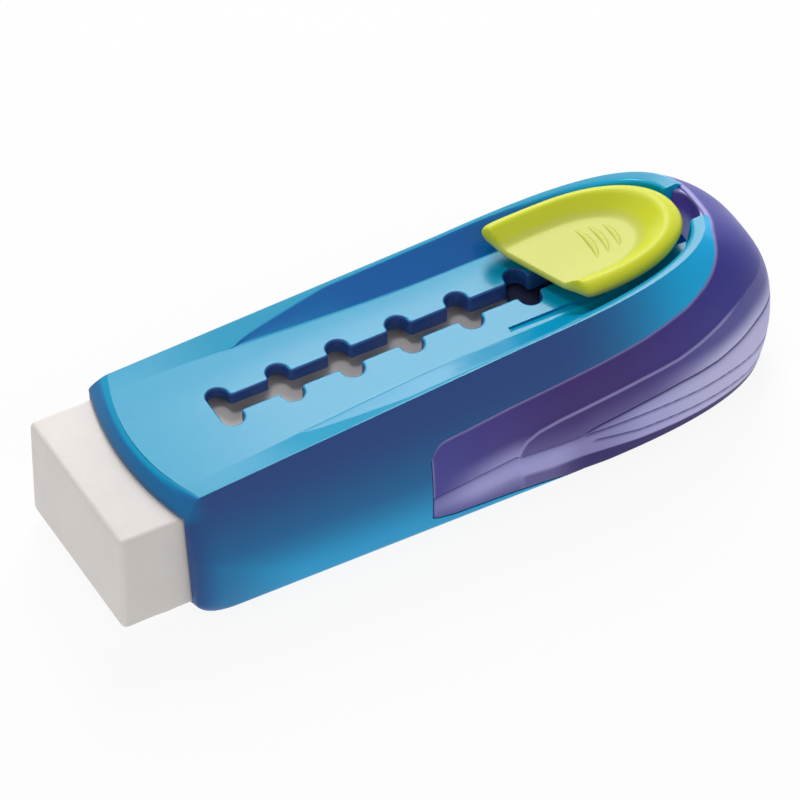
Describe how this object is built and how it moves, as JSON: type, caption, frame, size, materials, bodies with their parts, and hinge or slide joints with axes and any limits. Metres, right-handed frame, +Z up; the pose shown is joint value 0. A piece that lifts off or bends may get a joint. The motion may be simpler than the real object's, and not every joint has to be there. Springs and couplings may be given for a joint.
{
  "type": "slide eraser",
  "caption": "Block eraser in a moulded case with a soft grip: a thumb button locks in a notched slot and slides the eraser out of the mouth",
  "frame": {"origin": "on the table under the middle of the object's length and width, eraser set to the rear notch", "axes": "+X from the eraser's tip to the tail, +Y across, +Z up out of the track"},
  "size_m": [0.078, 0.024, 0.0206],
  "materials": {
    "glossy_blue": "glossy moulded",
    "satin_blue": "satin moulded",
    "soft_purple": "soft satin",
    "lime": "satin moulded",
    "dark_plastic": "plain moulded",
    "spring_plastic": "plain moulded",
    "white_vinyl": "matt"
  },
  "bodies": {
    "case": {"case_shell": "glossy_blue", "base_plate": "satin_blue", "grip_upper": "soft_purple", "grip_lower": "soft_purple"},
    "slider": {"carriage": "dark_plastic", "lock_spring": "spring_plastic", "eraser": "white_vinyl"},
    "button": {"thumb_button": "lime"}
  },
  "joints": [
    {"name": "eraser_slide", "type": "slide", "parent": "case", "child": "slider", "axis": [-1, 0, 0], "range_m": [0, 0.0408]},
    {"name": "button_press", "type": "slide", "parent": "slider", "child": "button", "axis": [0, 0, -1], "range_m": [0, 0.0009], "stiffness_N_per_m": 600, "deforming": ["lock_spring"]}
  ]
}
